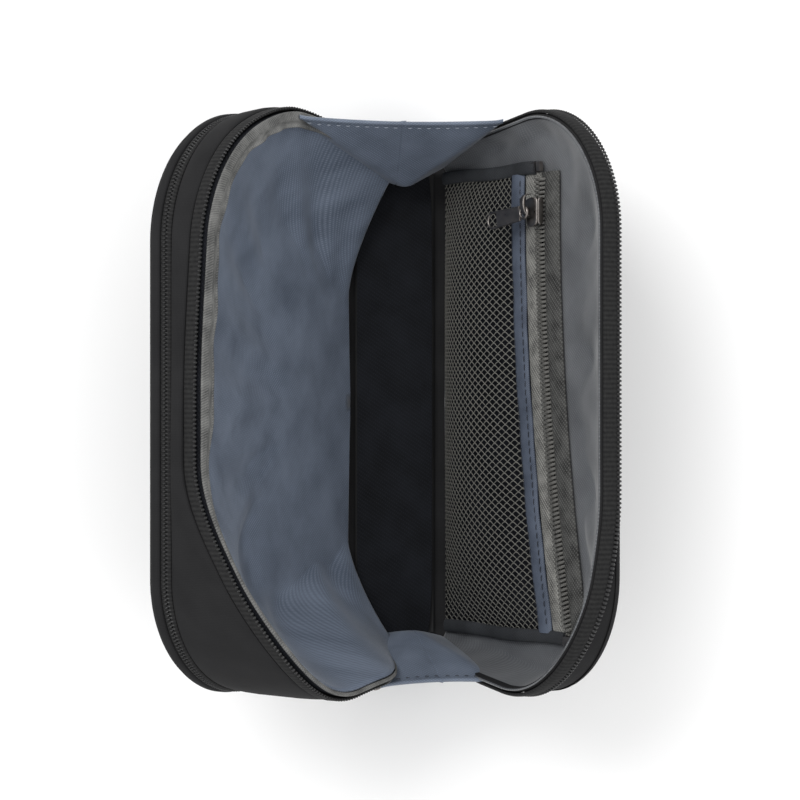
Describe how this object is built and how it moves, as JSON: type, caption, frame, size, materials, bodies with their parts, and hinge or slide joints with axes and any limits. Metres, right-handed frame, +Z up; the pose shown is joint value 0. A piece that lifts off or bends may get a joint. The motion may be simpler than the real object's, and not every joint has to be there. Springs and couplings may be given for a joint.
{
  "type": "cable organizer pouch",
  "caption": "Soft zipped pouch that stands open on its base: lined main compartment with end gussets, flat front pocket, and a zipped mesh pocket inside the cover.",
  "frame": {"origin": "centre of the base's underside, on the surface the pouch stands on", "axes": "+Z up; X across the opening, with the deep front half at -X and the cover at +X; +Y along the pouch towards its left-hand end as seen from the front panel"},
  "size_m": [0.1427, 0.1812, 0.0989],
  "materials": {
    "charcoal_fabric": "matt, finely woven, foam-backed",
    "black_backing": "matt black twill",
    "blue_grey_lining": "satin twill, slightly creased",
    "grey_lining": "satin twill, slightly creased",
    "charcoal_zip_tape": "ribbed woven tape",
    "charcoal_zip_coil": "moulded nylon coil",
    "grey_zip_tape": "ribbed woven tape",
    "grey_zip_coil": "moulded nylon coil",
    "binding_tape": "folded binding with two rows of stitches",
    "taupe_mesh": "open diamond mesh",
    "gunmetal": "satin gunmetal plating"
  },
  "bodies": {
    "base": {"base_panel": "charcoal_fabric", "base_stiffener": "black_backing", "base_lining": "black_backing", "left_gusset_front": "blue_grey_lining", "left_gusset_cover": "blue_grey_lining", "right_gusset_front": "blue_grey_lining", "right_gusset_cover": "blue_grey_lining"},
    "front_half": {"divider_wall": "black_backing", "front_lining": "blue_grey_lining", "main_band": "charcoal_fabric", "band_lining": "blue_grey_lining", "rim_binding": "grey_zip_tape", "main_tape_front": "charcoal_zip_tape", "main_coil_front": "charcoal_zip_coil", "pocket_tape_inner": "charcoal_zip_tape", "pocket_coil_inner": "charcoal_zip_coil"},
    "pocket_flap": {"front_panel": "charcoal_fabric", "front_edge_band": "charcoal_fabric", "pocket_lining": "black_backing", "pocket_tape_outer": "charcoal_zip_tape", "pocket_coil_outer": "charcoal_zip_coil"},
    "cover": {"back_panel": "charcoal_fabric", "cover_band": "charcoal_fabric", "cover_lining": "grey_lining", "cover_band_lining": "grey_lining", "main_tape_cover": "charcoal_zip_tape", "main_coil_cover": "charcoal_zip_coil", "mesh_tape_upper": "grey_zip_tape", "mesh_tape_lower": "grey_zip_tape", "mesh_coil_upper": "grey_zip_coil", "mesh_coil_lower": "grey_zip_coil", "mesh_binding": "binding_tape", "mesh_panel": "taupe_mesh", "mesh_end_binding_left": "grey_lining", "mesh_end_binding_right": "grey_lining", "mesh_bottom_stop": "gunmetal", "mesh_top_stop_upper": "gunmetal", "mesh_top_stop_lower": "gunmetal"},
    "mesh_slider_body": {"mesh_slider": "gunmetal", "mesh_slider_bridge": "gunmetal"},
    "mesh_puller_body": {"mesh_puller": "gunmetal"},
    "main_slider_body": {"main_slider": "gunmetal", "main_slider_bridge": "gunmetal"},
    "main_puller_body": {"main_puller": "gunmetal"},
    "pocket_slider_body": {"pocket_slider": "gunmetal", "pocket_slider_bridge": "gunmetal"},
    "pocket_puller_body": {"pocket_puller": "gunmetal"}
  },
  "joints": [
    {"name": "front_fold", "type": "hinge", "parent": "base", "child": "front_half", "pos_m": [-0.018, 0, 0.002], "axis": [0, 1, 0], "range_deg": [0, 35], "deforming": ["left_gusset_front", "right_gusset_front"]},
    {"name": "cover_fold", "type": "hinge", "parent": "base", "child": "cover", "pos_m": [0.018, 0, 0.002], "axis": [0, -1, 0], "range_deg": [0, 31], "deforming": ["left_gusset_cover", "right_gusset_cover"]},
    {"name": "pocket_flap_fold", "type": "hinge", "parent": "front_half", "child": "pocket_flap", "pos_m": [-0.018, 0, 0.002], "axis": [0, -1, 0], "range_deg": [0, 30]},
    {"name": "mesh_zip_slide", "type": "slide", "parent": "cover", "child": "mesh_slider_body", "axis": [0.0614, -0.9929, 0.1021], "range_m": [-0.007, 0.124]},
    {"name": "mesh_puller_hinge", "type": "hinge", "parent": "mesh_slider_body", "child": "mesh_puller_body", "pos_m": [0.04038, 0.0585, 0.05934], "axis": [-0.0614, 0.9929, -0.1021], "range_deg": [-16, 144]},
    {"name": "main_zip_slide", "type": "slide", "parent": "front_half", "child": "main_slider_body", "axis": [-0.568, -0.1392, 0.8112], "range_m": [0, 0.03]},
    {"name": "main_puller_hinge", "type": "hinge", "parent": "main_slider_body", "child": "main_puller_body", "pos_m": [-0.00587, -0.08963, 0.03288], "axis": [-0.8192, 0, -0.5736], "range_deg": [-8, 90]},
    {"name": "pocket_zip_slide", "type": "slide", "parent": "front_half", "child": "pocket_slider_body", "axis": [-0.568, -0.1392, 0.8112], "range_m": [0, 0.03]},
    {"name": "pocket_puller_hinge", "type": "hinge", "parent": "pocket_slider_body", "child": "pocket_puller_body", "pos_m": [-0.02266, -0.08932, 0.02112], "axis": [-0.8192, 0, -0.5736], "range_deg": [-8, 90]}
  ]
}
